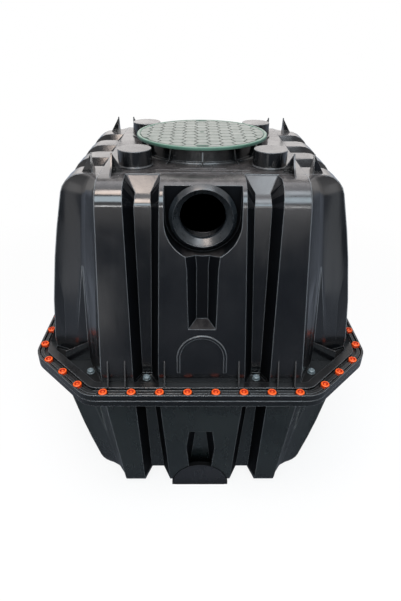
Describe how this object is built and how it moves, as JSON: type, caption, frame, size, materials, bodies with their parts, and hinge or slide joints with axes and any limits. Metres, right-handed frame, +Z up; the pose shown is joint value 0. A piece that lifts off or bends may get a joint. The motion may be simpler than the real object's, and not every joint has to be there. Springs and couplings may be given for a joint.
{
  "type": "septic tank",
  "caption": "Buried tank of two ribbed half shells bolted at an eight-sided flange, with a round access cover, pipe sockets and closed pipe stubs.",
  "frame": {"origin": "middle of the base, on the ground", "axes": "+Z up, inlet on the -Y side, outlet on the +Y side"},
  "size_m": [1.236, 1.236, 1.4205],
  "materials": {
    "upper_shell": "satin black moulded polypropylene",
    "lower_shell": "satin dark grey moulded polypropylene",
    "cover": "matt grey-green moulded polypropylene",
    "seal": "matt black rubber"
  },
  "bodies": {
    "root": {"upper_front_wall": "upper_shell", "upper_back_wall": "upper_shell", "upper_left_wall": "upper_shell", "upper_right_wall": "upper_shell", "upper_corner_fl": "upper_shell", "upper_corner_fr": "upper_shell", "upper_corner_bl": "upper_shell", "upper_corner_br": "upper_shell", "deck": "upper_shell", "neck": "upper_shell", "neck_ribs": "upper_shell", "cover": "cover", "stub_fl": "upper_shell", "stub_fr": "upper_shell", "stub_bl": "upper_shell", "stub_br": "upper_shell", "fins_fl": "upper_shell", "fins_fr": "upper_shell", "fins_bl": "upper_shell", "fins_br": "upper_shell", "inlet_socket": "upper_shell", "outlet_socket": "upper_shell", "inlet_ring": "seal", "outlet_ring": "seal", "upper_flange": "upper_shell", "upper_gussets": "upper_shell", "gasket": "seal", "lower_flange": "lower_shell", "lower_gussets": "lower_shell", "lower_front_wall": "lower_shell", "lower_back_wall": "lower_shell", "lower_left_wall": "lower_shell", "lower_right_wall": "lower_shell", "lower_corner_fl": "lower_shell", "lower_corner_fr": "lower_shell", "lower_corner_bl": "lower_shell", "lower_corner_br": "lower_shell", "floor": "lower_shell", "front_pad": "lower_shell", "back_pad": "lower_shell"}
  },
  "joints": []
}
